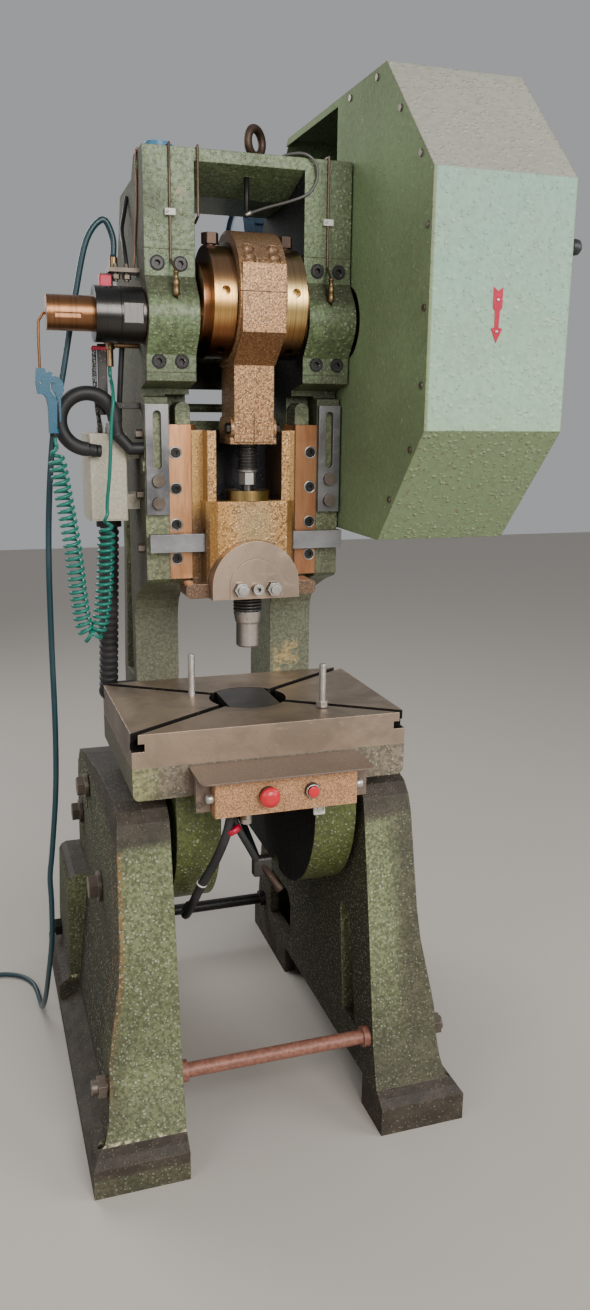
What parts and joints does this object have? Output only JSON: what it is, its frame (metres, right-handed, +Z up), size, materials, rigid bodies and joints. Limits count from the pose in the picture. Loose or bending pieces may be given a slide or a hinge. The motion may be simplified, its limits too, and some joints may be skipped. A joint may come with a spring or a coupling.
{
  "type": "mechanical stamping press",
  "caption": "Open-back inclinable eccentric press with a crank-driven ram in long guides, a T-slotted bolster, an octagonal flywheel guard and two cast stands.",
  "frame": {"origin": "on the floor, at the centre of the four anchor holes of the stands", "axes": "+X to the right of someone facing the press, +Y to its back, +Z up"},
  "size_m": [1.283, 1.036, 2.0933],
  "materials": {
    "green_casting": "hammered enamel, greased and worn",
    "guard_sheet": "hammered enamel",
    "red_rod": "worn red primer",
    "black_rod": "dull black",
    "worn_iron": "oily, handled",
    "bright_steel": "ground",
    "oily_steel": "oily brown film over machined iron",
    "black_screws": "black oxide",
    "brass": "satin",
    "copper": "oily bronze",
    "belt_rubber": "dull",
    "blue_plastic": "moulded",
    "brown_hammertone": "hammertone enamel",
    "dark_tray": "worn dark enamel",
    "red_plastic": "moulded",
    "black_plastic": "moulded",
    "cream_box": "enamel",
    "blue_motor": "enamel",
    "blue_hose": "soft tube",
    "green_hose": "soft tube"
  },
  "bodies": {
    "stand": {"stand_left": "green_casting", "stand_right": "green_casting", "front_tie_rod": "red_rod", "rear_tie_rod": "black_rod", "pivot_bolts": "worn_iron", "floor_hose": "blue_hose", "supply_hose_coil": "blue_hose", "hose_coupling": "black_plastic"},
    "frame": {"clamp_bolts": "worn_iron", "main_frame": "green_casting", "bolster_plate": "worn_iron", "bolster_insert": "worn_iron", "table_studs": "bright_steel", "bearing_caps": "green_casting", "cap_screws": "black_screws", "crank_bushes": "brass", "gib_left": "copper", "gib_right": "copper", "gib_screws": "black_screws", "stop_brackets": "worn_iron", "frame_bolts": "worn_iron", "flywheel_guard": "guard_sheet", "guard_knob": "black_plastic", "electric_motor": "blue_motor", "motor_plate": "green_casting", "drive_belts": "belt_rubber", "lifting_eye": "worn_iron", "oil_cap": "blue_plastic", "oil_lines": "copper", "control_box": "brown_hammertone", "control_tray": "dark_tray", "button_collars": "black_plastic", "fittings": "brass", "control_cables": "belt_rubber", "cam_switch": "worn_iron", "electrical_box": "cream_box", "conduit": "belt_rubber", "ring_hose": "belt_rubber", "supply_hose": "blue_hose", "spiral_hose": "green_hose", "blow_gun": "blue_plastic"},
    "crankshaft": {"crankshaft": "oily_steel", "stroke_rings": "brass", "stroke_sleeve": "oily_steel", "cam_collars": "black_screws", "clutch_drum": "worn_iron"},
    "rod": {"connecting_rod": "oily_steel", "rod_cap": "oily_steel", "rod_bolts": "black_screws", "adjusting_screw": "bright_steel"},
    "ram": {"ram": "oily_steel", "ball_ring": "brass", "shank_clamp": "bright_steel", "punch_holder": "bright_steel"},
    "flywheel": {"flywheel": "green_casting"},
    "motor_pulley": {"motor_pulley": "worn_iron"},
    "knock_out_bar": {"knock_out_bar": "bright_steel"},
    "stop_button": {"stop_button": "red_plastic"},
    "start_button": {"start_button": "red_plastic"},
    "gun_trigger": {"gun_trigger": "blue_plastic"}
  },
  "joints": [
    {"name": "frame_incline", "type": "hinge", "parent": "stand", "child": "frame", "pos_m": [0, -0.06, 0.45], "axis": [-1, 0, 0], "range_deg": [0, 16]},
    {"name": "crank_turn", "type": "hinge", "parent": "frame", "child": "crankshaft", "pos_m": [0, -0.17, 1.662], "axis": [1, 0, 0], "range_deg": [-180, 0]},
    {"name": "rod_swing", "type": "hinge", "parent": "crankshaft", "child": "rod", "pos_m": [0, -0.17, 1.702], "axis": [1, 0, 0], "range_deg": [0, 180]},
    {"name": "ram_slide", "type": "slide", "parent": "frame", "child": "ram", "axis": [0, 0, -1], "range_m": [0, 0.08]},
    {"name": "flywheel_spin", "type": "hinge", "parent": "frame", "child": "flywheel", "pos_m": [0.3, -0.17, 1.662], "axis": [1, 0, 0], "continuous": true},
    {"name": "motor_spin", "type": "hinge", "parent": "frame", "child": "motor_pulley", "pos_m": [0.28, 0.25, 1.85], "axis": [1, 0, 0], "continuous": true},
    {"name": "knock_out_lift", "type": "slide", "parent": "ram", "child": "knock_out_bar", "axis": [0, 0, 1], "range_m": [0, 0.01]},
    {"name": "stop_press", "type": "slide", "parent": "frame", "child": "stop_button", "axis": [0, 1, 0], "range_m": [0, 0.004], "stiffness_N_per_m": 900, "springref_m": -0.002},
    {"name": "start_press", "type": "slide", "parent": "frame", "child": "start_button", "axis": [0, 1, 0], "range_m": [0, 0.004], "stiffness_N_per_m": 900, "springref_m": -0.002},
    {"name": "trigger_squeeze", "type": "hinge", "parent": "frame", "child": "gun_trigger", "pos_m": [-0.376, -0.17, 1.542], "axis": [0, 1, 0], "range_deg": [0, 2], "stiffness_Nm_per_rad": 2, "springref_deg": -8.59}
  ],
  "couplings": [
    {"joint": "rod_swing", "follows": "crank_turn", "ratio": -1},
    {"joint": "ram_slide", "follows": "crank_turn", "m_per_rad": -0.025465},
    {"joint": "motor_spin", "follows": "flywheel_spin", "ratio": 6.5818}
  ]
}
